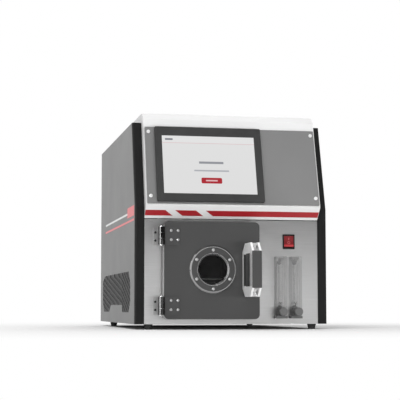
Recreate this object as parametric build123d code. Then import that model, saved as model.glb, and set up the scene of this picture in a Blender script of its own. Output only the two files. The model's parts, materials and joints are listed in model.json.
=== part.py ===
from build123d import *
from math import cos, pi, radians, sin, sqrt, tan
import os

# Bench-top vacuum plasma cleaner. Millimetres, +Z up, front towards -Y.
# The pieces are drawn from the front panel's face (y = 0) and the cabinet's underside (z = 0),
# and are moved into the part's frame when they are written: the origin lies on the bench,
# midway between the sides and midway between the handle's front and the vacuum port's end.

# Cabinet
inner_width = 370.0         # between the two side frames
frame_width = 19.4          # a side frame, seen from the front
cabinet_depth = 600.0
lean = 15.5                 # degrees that the upper front leans back
frame_lead = 1.5            # side frames in front of the front panel
frame_band = 42.0           # depth of a side frame
frame_lap = 9.0             # black band seen outside, before the side cover starts
frame_round = 4.0
cover_sheet = 1.5
sheet = 2.0
pan_flange = 26.0
panel_fold = 20.0           # folded foot of the front panel
foot_height = 10.7
foot_top_radius = 9.5
foot_bottom_radius = 7.0
foot_inset = 10.6           # front feet from the frames and from the panel's plane
foot_rear_inset = 30.0      # rear feet from the rear panel

# Hood and console
chin_gap = 7.7              # brushed panel seen above the door
chin_rise = 26.0            # from the chin's lower edge to the crease
crease_reach = 24.5
face_length = 192.0         # leaning face, measured up the slope
crown_rise = 13.5           # folded crown above the leaning face
side_drop = 19.2            # side frames and covers below the roof
bend_drop = 3.0             # the frames' bend below the hood's crease
hood_skirt = 47.5           # how far the hood's sides hang behind the frames
hood_sheet = 1.5
fold_radius = 2.0

# Vent slots in the side covers
slot_width = 7.6
slot_pitch = 12.6
slot_front_angle = 20.0     # ahead of the notch
slot_rear_angle = 9.5
vent_front = 66.0
vent_back = 552.0
vent_low = 23.6
vent_high = 111.0
vent_corner = 24.0
vent_notch_front = 200.0
vent_notch_back = 392.0
vent_notch_height = 15.8
filter_thickness = 3.0

# Stripes
film = 0.25
line_front = 12.0           # line and block on the side covers
line_back = 98.0            # bare cover behind the line
line_drop = 4.0             # line's lower edge below the chin's
line_width = 4.4
badge_front = 14.0
badge_length = 100.0
badge_rise = 6.5            # block above the chin's lower edge
badge_height = 21.5
stripe_low = 7.5            # along the chin, from its lower edge
stripe_high = 22.0
dash_first_end = -143.9
dash_gap = 20.7
dash_length = 43.7
dash_slant = 17.0

# Control panel and screen
console_gap = 2.5           # white margin beside and under the acrylic
console_top_gap = 20.0
console_sheet = 4.0
bezel_side_gap = 22.4       # from the left frame
bezel_width = 226.0
bezel_low = 5.5
bezel_top_gap = 21.2
bezel_rise = 8.0
bezel_hidden = 10.0         # the bezel's lap over the acrylic
screen_left_rim = 14.0
screen_right_rim = 15.4
screen_low_rim = 16.1
screen_high_rim = 20.8
screen_well = 2.4
screen_recess = 0.6
screen_body_depth = 34.0
panel_screw_inset = 9.7
panel_screw_low = 18.0
panel_screw_top_gap = 31.0
panel_screw_radius = 3.8

# Chamber and door
door_from_frame = 136.7     # door's centre from the left frame
door_z = 110.3
door_size = 200.0
door_corner = 10.0
flange_inset = 3.0          # flange inside the door's edge
flange_rise = 8.0
door_gap = 0.5
door_plate = 19.0
door_skin = 2.5
chamber_inset = 20.0        # bore inside the door's edge
chamber_wall = 12.0
chamber_depth = 262.0
seal_radius = 2.0
seal_inset = 13.0           # seal groove inside the door's edge
seal_proud = 0.2

# Window
window_shift_x = 1.3        # from the door's centre
window_shift_z = 1.7
window_bore = 30.0
glass_radius = 37.0
glass_thickness = 8.0
glass_seal = 1.5
ring_radius = 33.5
clamp_radius = 49.0
clamp_rise = 4.5
clamp_bolt_circle = 80.0
clamp_bolts = 6

# Handle
handle_inset = 26.5         # from the door's right edge
handle_width = 19.6
handle_height = 109.0
handle_depth = 87.0
cheek = 4.3
handle_foot = 37.2          # half height where the handle meets the door and the grip
handle_waist = 21.5         # depth of the slope at the door
handle_nose = 17.0          # depth of the slope at the grip
grip_plate = 3.0
window_gap_front = 7.0      # cheek left in front of the finger hole
window_gap_back = 11.0
window_half = 33.7

# Hinges
hinge_side_gap = 6.7        # hinge axis beside the door's edge
hinge_radius = 7.0
hinge_notch_gap = 0.5       # bracket round the turning tongue
hinge_skin_gap = 0.6
hinge_height = 36.4
hinge_drop = 1.5            # hinges below the middle of their screws
hinge_inset = 28.8          # hinge centres from the door's upper and lower edges
hinge_plate = 3.0
hinge_foot = 11.5           # bracket beside its axis
pin_radius = 2.5
pin_clearance = 0.05
knuckle_gap = 0.35
leaf_screw_radius = 2.9

# Switch and flow meters
switch_from_frame = 63.0
switch_drop = 46.0          # below the chin
switch_width = 25.5
switch_height = 31.0
switch_rise = 2.4
rocker_width = 20.0
rocker_height = 24.6
rocker_tilt = 6.5
rocker_pivot = 5.0          # behind the panel's face
meter_from_frame = 83.5
meter_pitch = 32.5
meter_count = 2
meter_width = 22.0
meter_depth = 20.0
meter_low = 16.6
meter_high = 140.5
meter_bore = 4.0
meter_fitting_end = 20.0    # behind the panel's face
float_radius = 3.2
float_rest = 42.0
knob_radius = 9.0
knob_depth = 16.0
knob_z = 25.6
knob_gap = 1.0

# Inside and rear
tray_height = 92.0
tray_lip = 6.0
tray_sheet = 2.0
tray_lift = 0.3             # running gap on the rails
electrode_height = 164.0
electrode_sheet = 5.0
feed_y = 140.0
feed_seat_radius = 9.0
feed_clearance = 0.05
gas_inlets = (60.0, 95.0)   # where the gas tubes enter the chamber's side
port_radius = 13.0
port_wall = 1.5
port_flange_radius = 20.0
port_flange = 6.0
port_reach = 36.0           # vacuum port behind the rear panel
pipe_radius = 12.5
pipe_length = 166.0
valve_size = 54.0
valve_length = 60.0
coil_width = 40.0
coil_height = 54.0
fan_from_frame = 90.0
fan_drop = 112.5            # below the roof
fan_size = 120.0
fan_depth = 25.0
guard_rise = 6.5
guard_foot = 3.0            # eyes of the guard on the panel
guard_wire = 1.1
guard_rings = (14, 25, 36, 47, 57)
inlet_from_frame = 50.0
gas_port_z = 60.0
gas_bore = 3.05
gas_port_depth = 18.0       # bore that takes the outer tube
gas_port_reach = 16.0
gas_port_length = 38.0
gas_throat = 2.0            # radius of the hole past the stop
gas_valve_y = 470.0
gas_valve_length = 30.0
tube_radius = 3.0
tube_clearance = 0.05
tube_seat = 8.0             # length of tube inside a fitting
module_gap = 6.0            # between the modules and what is beside them
match_width = 140.0
match_depth = 180.0
match_height = 78.0
generator_width = 93.0
generator_depth = 244.0
generator_height = 130.0
fin_height = 12.0
fin_sheet = 3.0
fin_pitch = 16.0
supply_width = 102.0
supply_depth = 170.0
supply_height = 42.0
gauge_size = 44.0
gauge_stem = 9.0
gauge_neck = 26.0
gauge_depth = 60.0
stand_width = 30.0
stand_first = 50.0
stand_second = 210.0

half_width = inner_width / 2
outer_half = half_width + frame_width
slope = tan(radians(lean))
chin_height = door_z + door_size / 2 + chin_gap
crease_height = chin_height + chin_rise
bend_height = crease_height - bend_drop
hood_top = crease_height + face_length * cos(radians(lean)) + crown_rise
side_height = hood_top - side_drop
console_width = inner_width - 2 * console_gap
console_low = console_gap
console_high = face_length - console_top_gap
bezel_left = bezel_side_gap - half_width
bezel_right = bezel_left + bezel_width
bezel_high = face_length - bezel_top_gap
screen_left = bezel_left + screen_left_rim
screen_right = bezel_right - screen_right_rim
screen_low = bezel_low + screen_low_rim
screen_high = bezel_high - screen_high_rim
panel_screw_x = half_width - panel_screw_inset
panel_screw_high = face_length - panel_screw_top_gap
door_x = door_from_frame - half_width
window_x = door_x + window_shift_x
window_z = door_z + window_shift_z
handle_x = door_x + door_size / 2 - handle_inset
hinge_x = door_x - door_size / 2 - hinge_side_gap
hinge_offset = door_size / 2 - hinge_inset
switch_x = half_width - switch_from_frame
switch_z = chin_height - switch_drop
meter_first_x = half_width - meter_from_frame
port_x = door_x
fan_x = half_width - fan_from_frame
fan_z = hood_top - fan_drop
inlet_x = inlet_from_frame - half_width
inlet_z = fan_z
rear_foot_depth = cabinet_depth - foot_rear_inset
flange_size = door_size - 2 * flange_inset
seal_size = door_size - 2 * seal_inset
chamber_bore = door_size - 2 * chamber_inset
chamber_outer = chamber_bore / 2 + chamber_wall
chamber_back = chamber_depth + chamber_wall
door_front = -(flange_rise + door_gap + door_plate + door_skin)
handle_front = door_front - handle_depth
port_end = cabinet_depth + port_reach
front_y = -(handle_front + port_end) / 2
crown_y = -crease_reach + face_length * sin(radians(lean))
crown_z = crease_height + face_length * cos(radians(lean))
console = Plane(
    origin=(0, -crease_reach, crease_height),
    x_dir=(1, 0, 0),
    z_dir=(0, -cos(radians(lean)), sin(radians(lean))),
)
chin_length = sqrt(crease_reach**2 + (crease_height - chin_height) ** 2)
chin = Plane(
    origin=(0, 0, chin_height),
    x_dir=(1, 0, 0),
    z_dir=(0, -(crease_height - chin_height) / chin_length, -crease_reach / chin_length),
)
hinge_y = door_front - hinge_skin_gap - hinge_radius
tongue_reach = door_front - hinge_y


def block(x0, x1, y0, y1, z0, z1):
    """A box between two corners."""
    return Pos((x0 + x1) / 2, (y0 + y1) / 2, (z0 + z1) / 2) * Box(x1 - x0, y1 - y0, z1 - z0)


def rod_x(radius, x0, x1, y, z):
    return Pos((x0 + x1) / 2, y, z) * Rot(0, 90, 0) * Cylinder(radius, x1 - x0)


def rod_y(radius, x, y0, y1, z):
    return Pos(x, (y0 + y1) / 2, z) * Rot(90, 0, 0) * Cylinder(radius, y1 - y0)


def rod_z(radius, x, y, z0, z1):
    return Pos(x, y, (z0 + z1) / 2) * Cylinder(radius, z1 - z0)


def across(face, x0, x1):
    """A face drawn in (y, z), pulled from x0 to x1."""
    return Pos(x0, 0, 0) * extrude(Plane.YZ * face, x1 - x0)


def plate_y(face, x, y0, y1, z):
    """A face drawn in (x, z) about its own centre, pulled from y0 back to y1."""
    return Pos(x, y1, z) * extrude(Plane.XZ * face, y1 - y0)


def polygon(*points):
    return make_face(Polyline(*points, close=True))


def folded(points, side, thickness, radius=fold_radius):
    """The section of a bent sheet whose face follows the points."""
    return make_face(offset(FilletPolyline(*points, radius=radius), thickness, side=side, closed=True))


def wire_run(points, bend, radius):
    """Round bar along straight runs joined by arcs."""
    route = FilletPolyline(*points, radius=bend)
    section = Plane(origin=route @ 0, z_dir=route % 0) * Circle(radius)
    return sweep(section, path=route)


def both_sides(shape):
    return Compound([shape, mirror(shape, about=Plane.YZ)])


def frame_edge(setback, top):
    """Front edge of the side frames in (y, z), moved straight back by a setback."""
    start = setback - frame_lead
    shift = setback / cos(radians(lean)) - frame_lead
    knee = bend_height - (shift - start) / slope
    return [(start, 0), (start, knee), (shift + (top - bend_height) * slope, top)]


def vent_outline():
    """Vent field in (y, z): sloped ends and a notch in its lower edge."""
    side_low = vent_low + vent_corner
    notch = vent_low + vent_notch_height
    return polygon(
        (vent_front, side_low),
        (vent_front + vent_corner, vent_low),
        (vent_notch_front - vent_notch_height / 2, vent_low),
        (vent_notch_front, notch),
        (vent_notch_back, notch),
        (vent_notch_back + 2 * vent_notch_height, vent_low),
        (vent_back - vent_corner, vent_low),
        (vent_back, side_low),
        (vent_back, vent_high - vent_corner / 2),
        (vent_back - 2 * vent_corner, vent_high),
        (vent_front + vent_corner, vent_high),
        (vent_front, vent_high - vent_corner),
    )


def vent_slots():
    """Round-ended slots that bend above the notch's front, clipped to the vent field."""
    field = offset(vent_outline(), -slot_width / 2)
    front_rise = tan(radians(slot_front_angle))
    rear_rise = tan(radians(slot_rear_angle))
    bend = vent_notch_front * front_rise
    highest_start = vent_high - vent_front * front_rise
    lowest_start = vent_low - bend - (vent_back - vent_notch_front) * rear_rise
    slots = []
    for step in range(int(lowest_start / slot_pitch), int(highest_start / slot_pitch) + 1):
        start = step * slot_pitch
        knee = (vent_notch_front, start + bend)
        rear_end = (vent_back, start + bend + (vent_back - vent_notch_front) * rear_rise)
        for run in (Line((0, start), knee), Line(knee, rear_end)):
            crossing = run & field
            for piece in crossing.edges() if crossing else []:
                if piece.length > slot_width:
                    slots.append(make_face(offset(piece, slot_width / 2, side=Side.BOTH, closed=True)))
    return slots


def side_cover():
    """Left cover: a pan of sheet with three turned-in edges and the vent slots."""
    edge = frame_edge(frame_lap, side_height)
    profile = polygon(*edge, (cabinet_depth, side_height), (cabinet_depth, 0))
    inner_edge = frame_edge(frame_lap - cover_sheet * 2, side_height - cover_sheet)
    inner = polygon(
        (inner_edge[0][0], cover_sheet),
        *inner_edge[1:],
        (cabinet_depth - cover_sheet, side_height - cover_sheet),
        (cabinet_depth - cover_sheet, cover_sheet),
    )
    pan = across(profile, -outer_half, -half_width)
    pan -= across(inner, -outer_half + cover_sheet, -half_width)
    for slot in vent_slots():
        pan -= across(slot, -outer_half - 1, -outer_half + 2 * cover_sheet)
    return pan


def side_frame():
    """Left frame: a bent upright with a rebate for the cover's front edge."""
    front = frame_edge(0, side_height)
    back = frame_edge(frame_band, side_height)
    upright = across(polygon(*front, *reversed(back)), -outer_half, -half_width)
    front_face = upright.faces().filter_by(Axis.Y).sort_by(Axis.Y)[0]
    lean_face = upright.faces().sort_by(Axis.X)[1:-1].filter_by(
        lambda face: abs(face.normal_at().Z) > 0.1 and face.normal_at().Y < -0.5)[0]
    corner = [edge for face in (front_face, lean_face) for edge in face.edges()
              if abs(edge.center().X + outer_half) < 0.01]
    upright = fillet(corner, frame_round)
    lap = frame_edge(frame_lap, side_height)
    cover_space = polygon(*lap, (cabinet_depth, side_height), (cabinet_depth, 0))
    tongue_space = polygon(
        (lap[0][0] - 1, cover_sheet), (lap[1][0] - 1, lap[1][1]),
        (lap[2][0] - 1 - cover_sheet * slope, side_height - cover_sheet),
        (cabinet_depth, side_height - cover_sheet), (cabinet_depth, cover_sheet))
    cover_zone = across(cover_space, -outer_half, -half_width)
    cover_zone -= across(tongue_space, -outer_half + cover_sheet, -half_width)
    return upright - cover_zone


def vent_filter():
    """Dust mat behind one cover's slots."""
    field = offset(vent_outline(), slot_width / 2)
    start = -outer_half + cover_sheet
    return across(field, start, start + filter_thickness)


def base_pan():
    """Floor sheet with turned-up edges."""
    floor = block(-half_width, half_width, sheet + panel_fold, cabinet_depth - sheet, 0, sheet)
    wall = block(-half_width, -half_width + sheet, frame_band, cabinet_depth - sheet - fold_radius,
                 sheet, sheet + pan_flange)
    return floor + wall + mirror(wall, about=Plane.YZ)


def front_panel():
    """Brushed sheet with a folded foot and openings for the chamber, the switch and the meters."""
    panel = block(-half_width, half_width, 0, sheet, 0, chin_height - hood_sheet)
    panel += block(-half_width, half_width, sheet, sheet + panel_fold, 0, cover_sheet)
    hole = chamber_outer + 0.5
    panel -= block(door_x - hole, door_x + hole, -1, sheet + 1, door_z - hole, door_z + hole)
    panel -= block(switch_x - rocker_width / 2 - 1, switch_x + rocker_width / 2 + 1, -1, sheet + 1,
                   switch_z - rocker_height / 2 - 1, switch_z + rocker_height / 2 + 1)
    for x in meter_places():
        for z in meter_ports():
            panel -= rod_y(5.05, x, -1, sheet + 1, z)
    return panel


def hood():
    """Folded top: chin, leaning face, crown and roof in one sheet, with its side webs."""
    back = cabinet_depth
    outline = [(0, chin_height), (-crease_reach, crease_height), (crown_y, crown_z),
               (crown_y + hood_top - crown_z, hood_top), (back, hood_top)]
    skin = across(folded(outline, Side.RIGHT, hood_sheet), -half_width, half_width)
    skirt = hood_top - hood_skirt
    inner_y = -crease_reach + (skirt - crease_height) * slope + 40
    web_face = polygon((0, chin_height + 1), (-crease_reach + 1, crease_height), (crown_y + 0.6, crown_z),
                       (crown_y + hood_top - crown_z + 0.6, hood_top - 0.7), (back - sheet, hood_top - 0.7),
                       (back - sheet, skirt), (inner_y, skirt), (18, chin_height + 16), (18, chin_height + 1))
    web = across(web_face, -half_width, -half_width + hood_sheet)
    whole = skin + web + mirror(web, about=Plane.YZ)
    whole -= console * terminal_hole(4 * fold_radius)
    for x, rise in panel_screw_places():
        whole -= console * Pos(x, rise, 0) * Cylinder(2.05, 12)
    return whole


def terminal_hole(thickness):
    """Cutter for the terminal's body, on the console's plane."""
    return Pos((bezel_left + bezel_right) / 2, (bezel_low + bezel_high) / 2, 0) * Box(
        bezel_width - 2 * bezel_hidden, bezel_high - bezel_low - 2 * bezel_hidden, 2 * thickness)


def panel_screw_places():
    return [(x, rise) for x in (-panel_screw_x, panel_screw_x)
            for rise in (panel_screw_low, panel_screw_high)]


def control_panel():
    """Tinted acrylic sheet over the leaning face, cut out for the screen."""
    middle = (console_low + console_high) / 2
    face = RectangleRounded(console_width, console_high - console_low, 1.5)
    panel = console * Pos(0, middle, 0) * extrude(face, console_sheet)
    panel -= console * terminal_hole(3 * console_sheet)
    for x, rise in panel_screw_places():
        panel -= console * Pos(x, rise, 0) * Cylinder(2.05, 30)
    return panel


def panel_screws():
    """Domed cap screws that hold the acrylic sheet."""
    head = Cylinder(panel_screw_radius, 1.6, align=(Align.CENTER, Align.CENTER, Align.MIN))
    dome_height = 1.4
    dome_radius = (panel_screw_radius**2 + dome_height**2) / (2 * dome_height)
    cap = Pos(0, 0, 1.6 + dome_height - dome_radius) * Sphere(dome_radius)
    cap &= Pos(0, 0, 1.6) * Cylinder(panel_screw_radius, dome_height, align=(Align.CENTER, Align.CENTER, Align.MIN))
    shank = Pos(0, 0, -console_sheet - 6) * Cylinder(2, console_sheet + 6,
                                                    align=(Align.CENTER, Align.CENTER, Align.MIN))
    screw = Pos(0, 0, console_sheet) * (head + cap + shank)
    return Compound([console * Pos(x, rise, 0) * screw for x, rise in panel_screw_places()])


def screen_space():
    width = screen_right - screen_left
    height = screen_high - screen_low
    return Pos((screen_left + screen_right) / 2, (screen_low + screen_high) / 2, 0), width, height


def screen_housing():
    """Operator terminal: bezel in front of the acrylic, body behind it."""
    width = bezel_right - bezel_left
    height = bezel_high - bezel_low
    place = Pos((bezel_left + bezel_right) / 2, (bezel_low + bezel_high) / 2, console_sheet)
    bezel = extrude(RectangleRounded(width, height, 2.5), bezel_rise)
    rim = bezel.faces().sort_by(Axis.Z)[-1].edges()
    bezel = place * chamfer(rim, 1.2)
    body = place * Pos(0, 0, -screen_body_depth / 2) * Box(
        width - 2 * bezel_hidden - 1, height - 2 * bezel_hidden - 1, screen_body_depth)
    spot, glass_width, glass_height = screen_space()
    top = console_sheet + bezel_rise
    well = spot * Pos(0, 0, top - screen_well / 2) * Box(glass_width, glass_height, screen_well)
    return console * (bezel + body - well)


def screen_glass():
    spot, width, height = screen_space()
    floor = console_sheet + bezel_rise - screen_well
    return console * spot * Pos(0, 0, floor) * Box(
        width, height, screen_well - screen_recess, align=(Align.CENTER, Align.CENTER, Align.MIN))


def accent_stripes():
    """Red films: three dashes along the chin, a line and a block on each side cover."""
    films = []
    start = -half_width + 0.2
    ends = [dash_first_end]
    starts = [start]
    for number in (1, 2):
        starts.append(ends[-1] + dash_gap)
        ends.append(starts[-1] + dash_length)
    ends[-1] = half_width - 0.6
    for number, (left, right) in enumerate(zip(starts, ends)):
        left_slant = 0 if number == 0 else dash_slant
        right_slant = 0 if number == len(starts) - 1 else dash_slant
        dash = polygon((left, stripe_high), (right, stripe_high),
                       (right + right_slant, stripe_low), (left + left_slant, stripe_low))
        films.append(chin * extrude(dash, film))
    line_low = chin_height - line_drop
    badge_low = chin_height + badge_rise
    line = block(-outer_half - film, -outer_half, line_front, cabinet_depth - line_back, line_low,
                 line_low + line_width)
    badge = block(-outer_half - film, -outer_half, badge_front, badge_front + badge_length, badge_low,
                  badge_low + badge_height)
    for piece in (line, badge):
        films += [piece, mirror(piece, about=Plane.YZ)]
    return Compound(films)


def foot():
    body = Pos(0, 0, -foot_height / 2) * Cone(foot_bottom_radius, foot_top_radius, foot_height)
    recess = Pos(0, 0, -foot_height + 2) * Cylinder(3.4, 4.0)
    return body - recess


def feet():
    places = [(side * (half_width - foot_inset), depth) for side in (-1, 1)
              for depth in (foot_inset + frame_lead, rear_foot_depth)]
    return Compound([Pos(x, y, 0) * foot() for x, y in places])


def meter_places():
    return [meter_first_x + meter_pitch * number for number in range(meter_count)]


def meter_ports():
    return (meter_low + 18, meter_high - 12)


def switch_housing():
    """Rocker switch body, snapped into the panel from the front."""
    rim = plate_y(RectangleRounded(switch_width, switch_height, 1.5), switch_x, -switch_rise, 0, switch_z)
    body = block(switch_x - rocker_width / 2 - 0.9, switch_x + rocker_width / 2 + 0.9, 0, 26,
                 switch_z - rocker_height / 2 - 0.9, switch_z + rocker_height / 2 + 0.9)
    well = block(switch_x - rocker_width / 2 - 0.3, switch_x + rocker_width / 2 + 0.3, -switch_rise - 1, 12,
                 switch_z - rocker_height / 2 - 0.3, switch_z + rocker_height / 2 + 0.3)
    tabs = [block(switch_x - 0.4 + shift, switch_x + 0.4 + shift, 26, 33, switch_z - 3, switch_z + 3)
            for shift in (-6, 0, 6)]
    housing = rim + body - well
    for tab in tabs:
        housing += tab
    return housing


def rocker():
    """Rocker cap with two sloping lands, pressed in at the top when it is at rest."""
    half = rocker_height / 2 - 1.0
    end = rocker_pivot + switch_rise + 1.4
    section = polygon((3, -4), (3, 4), (-2, half), (-end, half), (2.0 - end, 0), (-end, -half), (-2, -half))
    cap = across(section, -rocker_width / 2, rocker_width / 2)
    return Pos(switch_x, rocker_pivot, switch_z) * Rot(-rocker_tilt, 0, 0) * cap


def flow_meter(x):
    """Clear block with a tapered bore; the needle valve's stem seat is at its foot."""
    body = block(x - meter_width / 2, x + meter_width / 2, -meter_depth, 0, meter_low, meter_high)
    body = fillet(body.edges().filter_by(Axis.Z), 1.0)
    bore_low = float_rest - float_radius - 0.4
    bore = Pos(x, -meter_depth / 2, (bore_low + meter_high - 14) / 2) * Cone(
        meter_bore, meter_bore + 1.2, meter_high - 14 - bore_low)
    stem = rod_y(3.6, x, -meter_depth - 1, -meter_depth / 2 - 2, knob_z)
    return body - bore - stem


def flow_float(x):
    """Turned float that rides up the bore with the gas flow."""
    section = polygon((0, -float_radius), (1.6, -float_radius), (1.2, 0.5), (float_radius, 2.0),
                      (float_radius, float_radius), (0, float_radius))
    return Pos(x, -meter_depth / 2, float_rest) * revolve(Plane.XZ * section, Axis.Z)


def flow_knob(x):
    """Fluted valve knob on its stem."""
    front = -meter_depth - knob_gap - knob_depth
    knob = rod_y(knob_radius, x, front, -meter_depth - knob_gap, knob_z)
    knob = chamfer(knob.edges().sort_by(Axis.Y)[0], 1.2)
    flutes = 16
    for number in range(flutes):
        turn = 2 * pi * number / flutes
        knob -= rod_y(0.9, x + (knob_radius + 0.3) * cos(turn), front - 1, front + knob_depth - 4,
                      knob_z + (knob_radius + 0.3) * sin(turn))
    return knob + rod_y(3.5, x, -meter_depth - knob_gap, -meter_depth / 2 - 3, knob_z)


def meter_base(x):
    """Dark foot block and the two brass fittings of one meter."""
    base = block(x - 12, x + 12, -meter_depth, 0, meter_low - 5, meter_low)
    return base


def meter_fittings(x):
    parts = []
    for z in meter_ports():
        fitting = rod_y(5.0, x, 0, sheet, z) + rod_y(7.0, x, sheet, sheet + 4, z)
        fitting += rod_y(4.6, x, sheet + 4, meter_fitting_end, z)
        parts.append(fitting - rod_y(tube_radius + tube_clearance, x, meter_fitting_end - tube_seat,
                                     meter_fitting_end + 1, z))
    return parts


def chamber():
    """Vacuum chamber: walls, front flange with a seal groove, ports at the back and on top."""
    outer = chamber_bore / 2 + chamber_wall
    half = chamber_bore / 2
    body = block(door_x - outer, door_x + outer, 0, chamber_depth + chamber_wall, door_z - outer, door_z + outer)
    flange = plate_y(RectangleRounded(flange_size, flange_size, door_corner - 3), door_x, -flange_rise, 0, door_z)
    body += flange
    body -= plate_y(RectangleRounded(chamber_bore, chamber_bore, 8), door_x, -flange_rise - 1, chamber_depth, door_z)
    groove_outer = RectangleRounded(seal_size + 5, seal_size + 5, 12)
    groove_inner = RectangleRounded(seal_size - 5, seal_size - 5, 7)
    floor = seal_centre() + seal_radius + 0.05
    groove = plate_y(groove_outer, door_x, -flange_rise - 1, floor, door_z)
    groove -= plate_y(groove_inner, door_x, -flange_rise - 2, floor + 1, door_z)
    body -= groove
    body -= rod_y(port_radius, port_x, chamber_depth - 1, chamber_depth + chamber_wall + 1, door_z)
    body -= rod_z(feed_seat_radius, door_x, feed_y, door_z + half - 1, door_z + outer + 1)
    for y in gas_inlets:
        body -= rod_x(tube_radius + tube_clearance, door_x + half - 1, door_x + outer + 1, y, meter_ports()[1])
    return body


def seal_centre():
    """Depth of the seal's centre line: it stands a little out of the flange."""
    return -flange_rise + seal_radius - seal_proud


def door_seal():
    """Round-section ring in the flange's groove."""
    path = Plane.XZ.offset(-seal_centre()) * RectangleRounded(seal_size, seal_size, 9.5).wire()
    start = path @ 0
    section = Plane(origin=start, z_dir=path % 0) * Circle(seal_radius)
    return Pos(door_x, 0, door_z) * sweep(section, path=path)


def door_panel():
    """Machined door with the window's bore and counterbore."""
    y0 = door_front + door_skin
    y1 = y0 + door_plate
    panel = plate_y(RectangleRounded(door_size, door_size, door_corner), door_x, y0, y1, door_z)
    panel -= rod_y(window_bore, window_x, y0 - 1, y1 + 1, window_z)
    panel -= rod_y(glass_radius + 0.2, window_x, y0 - 1, y0 + glass_thickness + glass_seal, window_z)
    for x, z in clamp_places():
        panel -= rod_y(1.65, x, y0 - 1, y0 + 9, z)
    for x, z in leaf_screw_places():
        panel -= rod_y(2.05, x, y0 - 1, y0 + 10, z)
    return panel


def door_cover():
    """Dark skin on the door."""
    y1 = door_front + door_skin
    skin = plate_y(RectangleRounded(door_size, door_size, door_corner), door_x, door_front, y1, door_z)
    skin -= rod_y(glass_radius + 0.7, window_x, door_front - 1, y1 + 1, window_z)
    for x, z in clamp_places():
        skin -= rod_y(1.65, x, door_front - 1, y1 + 1, z)
    for x, z in leaf_screw_places():
        skin -= rod_y(2.05, x, door_front - 1, y1 + 1, z)
    return skin


def clamp_places():
    ring = clamp_bolt_circle / 2
    turns = [pi / 2 + 2 * pi * number / clamp_bolts for number in range(clamp_bolts)]
    return [(window_x + ring * cos(turn), window_z + ring * sin(turn)) for turn in turns]


def window_seal():
    y = door_front + door_skin + glass_thickness
    ring = rod_y(glass_radius, window_x, y, y + glass_seal, window_z)
    return ring - rod_y(window_bore + 1, window_x, y - 1, y + glass_seal + 1, window_z)


def window_glass():
    y = door_front + door_skin
    return rod_y(glass_radius, window_x, y, y + glass_thickness, window_z)


def window_clamp():
    """Dark clamping ring with a bevelled rim, a spigot on the glass and a recess for the bright ring."""
    rim = rod_y(clamp_radius, window_x, door_front - clamp_rise, door_front, window_z)
    rim = chamfer(rim.edges().sort_by(Axis.Y)[0], 2.2)
    ring = rim + rod_y(glass_radius + 0.3, window_x, door_front, door_front + door_skin, window_z)
    ring -= rod_y(window_bore + 1.5, window_x, door_front - clamp_rise - 1, door_front + door_skin + 1, window_z)
    ring -= rod_y(ring_radius, window_x, door_front - clamp_rise - 1, door_front + 0.5, window_z)
    for x, z in clamp_places():
        ring -= rod_y(2.05, x, door_front - clamp_rise - 1, door_front + 1, z)
    return ring


def window_ring():
    """Bright bevelled ring round the glass."""
    front = door_front - clamp_rise - 0.6
    back = door_front + 0.5
    section = polygon((window_bore + 2.9, front), (ring_radius, front), (ring_radius, back),
                      (window_bore, back), (window_bore, back - 2.0))
    return Pos(window_x, 0, window_z) * revolve(section, Axis.Y)


def dome_screw(radius, height, shank_radius, shank_length):
    """Button-head screw along +Y: its head's seat is at y = 0, its head in front."""
    dome = (radius**2 + height**2) / (2 * height)
    head = Pos(0, dome - height, 0) * Sphere(dome) & rod_y(radius, 0, -height, 0, 0)
    head -= rod_y(radius * 0.38, 0, -height - 1, -height * 0.45, 0)
    return head + rod_y(shank_radius, 0, 0, shank_length, 0)


def door_screws():
    """Button-head screws of the window clamp and of the hinge leaves."""
    y = door_front - clamp_rise
    screw = dome_screw(3.3, 2.0, 1.6, clamp_rise + door_skin + 7)
    screws = [Pos(x, y, z) * screw for x, z in clamp_places()]
    y = door_front - hinge_plate
    screw = dome_screw(leaf_screw_radius, 1.8, 2.0, hinge_plate + door_skin + 8)
    return Compound(screws + [Pos(x, y, z) * screw for x, z in leaf_screw_places()])


def handle_side(gap_front, gap_back, front):
    """Outline of a cheek in (y, z): an eight-sided plate with a finger hole."""
    half = handle_height / 2
    points = [(door_front, -handle_foot), (door_front - handle_waist, -half), (front + handle_nose, -half),
              (front, -handle_foot), (front, handle_foot), (front + handle_nose, half),
              (door_front - handle_waist, half), (door_front, handle_foot)]
    plate = polygon(*points)
    hole_front = front + gap_front
    hole_back = door_front - gap_back
    hole = Pos((hole_front + hole_back) / 2, 0) * RectangleRounded(hole_back - hole_front, 2 * window_half, 2.0)
    return Pos(0, door_z) * (plate - hole)


def handle_cheeks():
    """The two side plates of the pull handle."""
    front = handle_front + grip_plate
    side = handle_side(window_gap_front, window_gap_back, front)
    left = across(side, handle_x - handle_width / 2, handle_x - handle_width / 2 + cheek)
    right = across(side, handle_x + handle_width / 2 - cheek, handle_x + handle_width / 2)
    return Compound([left, right])


def handle_grip():
    """Dark plate across the cheeks' front edges."""
    face = RectangleRounded(handle_width, 2 * handle_foot, 1.5)
    plate = plate_y(face, handle_x, handle_front, handle_front + grip_plate, door_z)
    return chamfer(plate.faces().sort_by(Axis.Y)[0].edges(), 0.8)


def handle_spacers():
    """Waisted blocks between the cheeks, at the top and the bottom of the handle."""
    half = handle_width / 2 - cheek
    low = handle_foot + 1.0
    high = handle_height / 2 - 1.0
    middle = (low + high) / 2
    section = polygon((-half, low), (half, low), (half, low + 2.5), (1.8, middle),
                      (half, high - 2.5), (half, high), (-half, high), (-half, high - 2.5),
                      (-1.8, middle), (-half, low + 2.5))
    front = handle_front + grip_plate + handle_nose
    spacer = plate_y(section, handle_x, front, front + 14, door_z)
    lower = mirror(Pos(0, 0, -door_z) * spacer, about=Plane.XY)
    return Compound([spacer, Pos(0, 0, door_z) * lower])


def hinge_centres():
    return (door_z - hinge_offset - hinge_drop, door_z + hinge_offset - hinge_drop)


def knuckle(z0, z1):
    return rod_z(hinge_radius, hinge_x, hinge_y, z0, z1)


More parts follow.
